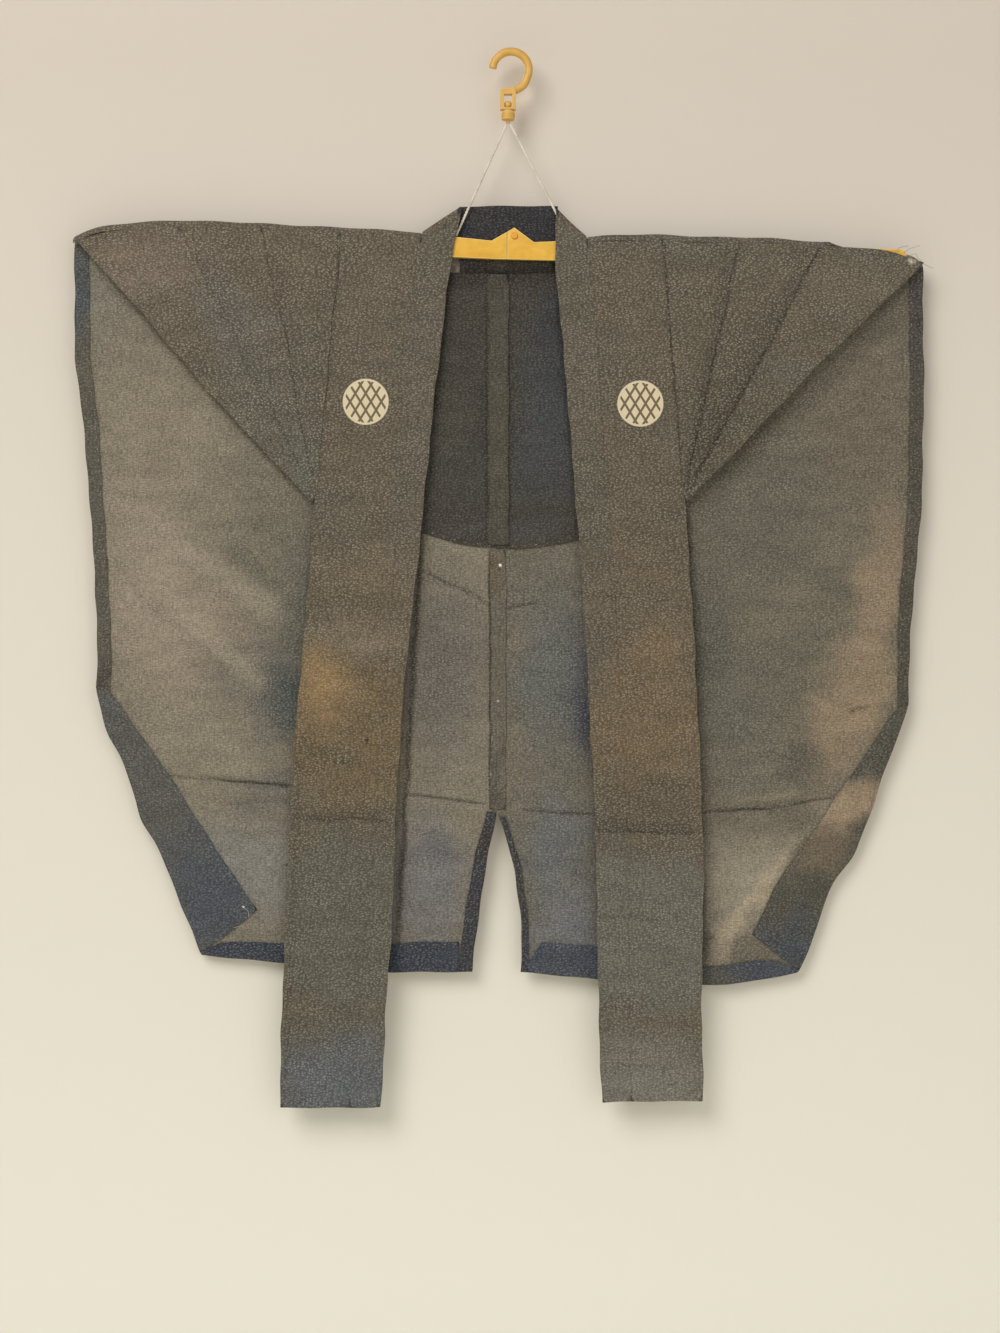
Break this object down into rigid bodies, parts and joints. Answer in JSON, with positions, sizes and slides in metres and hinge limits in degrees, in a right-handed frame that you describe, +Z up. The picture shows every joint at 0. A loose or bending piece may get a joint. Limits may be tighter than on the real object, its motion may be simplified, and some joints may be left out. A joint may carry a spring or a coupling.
{
  "type": "kataginu vest of a kamishimo on a hanger",
  "caption": "Pleated, sleeveless kataginu vest of a kamishimo with wide wing shoulders and long front strips, hanging flat on a folding plastic hanger.",
  "frame": {"origin": "inside top of the hanger's hook, where it hangs from a nail or rail", "axes": "+Z up; +X towards the wearer's left, the viewer's right from the front; +Y towards the garment's back, away from a viewer in front"},
  "size_m": [0.689, 0.0205, 0.8574],
  "materials": {
    "cloth_outside": "plain weave hemp, outside, faded grey-brown with a small even dot pattern",
    "cloth_inside": "plain weave hemp, wrong side, faded tan and grey with stains",
    "cloth_navy": "plain weave hemp, dark blue-grey where it was kept from the light",
    "hanger_plastic": "moulded, warm yellow, satin",
    "string_cotton": "twisted cotton string, off-white"
  },
  "bodies": {
    "root": {"front_right": "cloth_outside", "front_left": "cloth_outside", "pleats_right": "cloth_outside", "pleats_left": "cloth_outside", "collar_right": "cloth_outside", "collar_left": "cloth_outside", "back_right": "cloth_inside", "back_left": "cloth_inside", "collar_neck": "cloth_navy", "side_hem_right": "cloth_navy", "side_hem_left": "cloth_navy", "corner_flap_right": "cloth_navy", "corner_flap_left": "cloth_navy", "bottom_hem_right": "cloth_navy", "bottom_hem_left": "cloth_navy", "vent_hem_right": "cloth_navy", "vent_hem_left": "cloth_navy", "shoulder_lining": "cloth_navy", "lining_seam_allowance": "cloth_navy", "centre_seam_allowance": "cloth_navy", "hanger_hook": "hanger_plastic", "hanger_swivel_head": "hanger_plastic", "hanger_barrel": "hanger_plastic", "hanger_arm_right": "hanger_plastic", "hanger_arm_left": "hanger_plastic", "hanger_pin": "hanger_plastic", "hanger_string_right": "string_cotton", "hanger_string_left": "string_cotton"}
  },
  "joints": []
}
